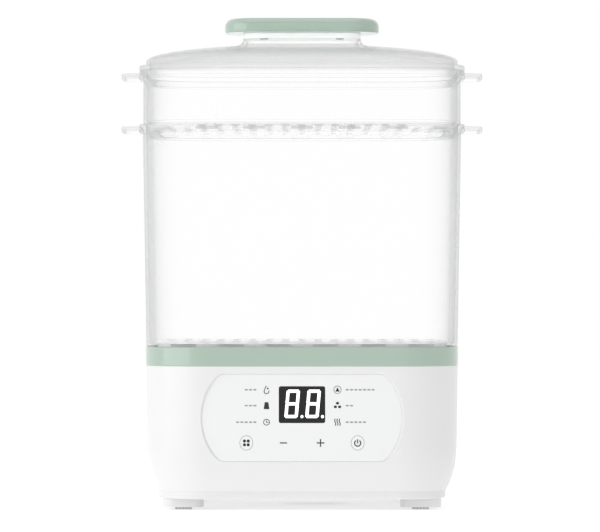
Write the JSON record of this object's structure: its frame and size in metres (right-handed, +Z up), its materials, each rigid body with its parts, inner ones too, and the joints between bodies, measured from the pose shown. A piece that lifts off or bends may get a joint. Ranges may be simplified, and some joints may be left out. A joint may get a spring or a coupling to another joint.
{
  "type": "bottle sterilizer",
  "caption": "Countertop steam bottle sterilizer and dryer: white base with control panel, clear stacked chamber, tier and lid, green ring and handle.",
  "frame": {"origin": "centre of the footprint, on the surface the feet stand on", "axes": "+Z up, -Y to the front where the control panel is, +X to the right seen from the front"},
  "size_m": [0.2666, 0.21, 0.36],
  "materials": {
    "white_shell": "smooth satin-gloss white moulding",
    "panel_white": "smooth white printed panel",
    "sage_plastic": "glossy sage green moulding",
    "clear_plastic": "clear glossy polypropylene, faintly milky",
    "milky_plastic": "milky white polypropylene",
    "dark_window": "dark smoked display window",
    "display_body": "matte display body",
    "pad_rubber": "soft ribbed rubber",
    "seal_silicone": "soft silicone",
    "stainless_steel": "spun stainless steel",
    "zinc_steel": "zinc-plated steel",
    "heater_alloy": "dull heater metal",
    "circuit_board": "green solder-masked board",
    "contact_foam": "conductive foam",
    "lamp_resin": "clear lamp resin",
    "black_moulding": "black engineering plastic",
    "fuse_ceramic": "pale ceramic tube",
    "capacitor_sleeve": "dark blue shrink sleeve",
    "grey_moulding": "grey heat-resistant moulding",
    "filter_foam": "open grey filter foam"
  },
  "bodies": {
    "base": {"base_housing": "white_shell", "deck": "white_shell", "filter_frame": "grey_moulding", "trim_ring": "sage_plastic", "bottom_cover": "white_shell", "foot_pads": "pad_rubber", "base_screws": "zinc_steel", "control_panel": "panel_white", "display_window": "dark_window", "display_module": "display_body", "control_board": "circuit_board", "board_screws": "zinc_steel", "touch_contacts": "contact_foam", "indicator_lamps": "lamp_resin", "buzzer": "black_moulding", "heating_plate": "stainless_steel", "plate_seal": "seal_silicone", "plate_clamp": "zinc_steel", "heating_element": "heater_alloy", "thermostat": "black_moulding", "thermal_fuse": "fuse_ceramic", "fuse_strap": "zinc_steel", "fan_case": "grey_moulding", "fan_lid": "grey_moulding", "fan_motor": "zinc_steel", "air_duct": "grey_moulding", "air_heater": "heater_alloy", "air_outlet": "milky_plastic", "power_board": "circuit_board", "transformer": "black_moulding", "relay": "black_moulding", "capacitor": "capacitor_sleeve", "cord_gland": "black_moulding", "gland_nut": "black_moulding"},
    "fan_rotor": {"fan_impeller": "black_moulding", "fan_shaft": "zinc_steel"},
    "filter": {"filter_element": "filter_foam", "filter_cover": "white_shell"},
    "rack": {"bottle_rack": "milky_plastic"},
    "chamber_shell": {"chamber": "clear_plastic"},
    "tier": {"upper_tier": "clear_plastic"},
    "tray": {"upper_tray": "milky_plastic"},
    "lid": {"lid_shell": "clear_plastic", "lid_handle": "sage_plastic", "handle_screws": "zinc_steel"}
  },
  "joints": [
    {"name": "chamber_lift", "type": "slide", "parent": "base", "child": "chamber_shell", "axis": [0, 0, 1], "range_m": [0, 0.2]},
    {"name": "tier_lift", "type": "slide", "parent": "chamber_shell", "child": "tier", "axis": [0, 0, 1], "range_m": [0, 0.12]},
    {"name": "lid_lift", "type": "slide", "parent": "tier", "child": "lid", "axis": [0, 0, 1], "range_m": [0, 0.12]},
    {"name": "tray_lift", "type": "slide", "parent": "tier", "child": "tray", "axis": [0, 0, 1], "range_m": [0, 0.03]},
    {"name": "rack_lift", "type": "slide", "parent": "base", "child": "rack", "axis": [0, 0, 1], "range_m": [0, 0.12]},
    {"name": "filter_pull", "type": "slide", "parent": "base", "child": "filter", "axis": [0, 1, 0], "range_m": [0, 0.05]},
    {"name": "fan_spin", "type": "hinge", "parent": "base", "child": "fan_rotor", "pos_m": [0.01, 0.02, 0.03], "axis": [0, 0, 1], "continuous": true}
  ]
}
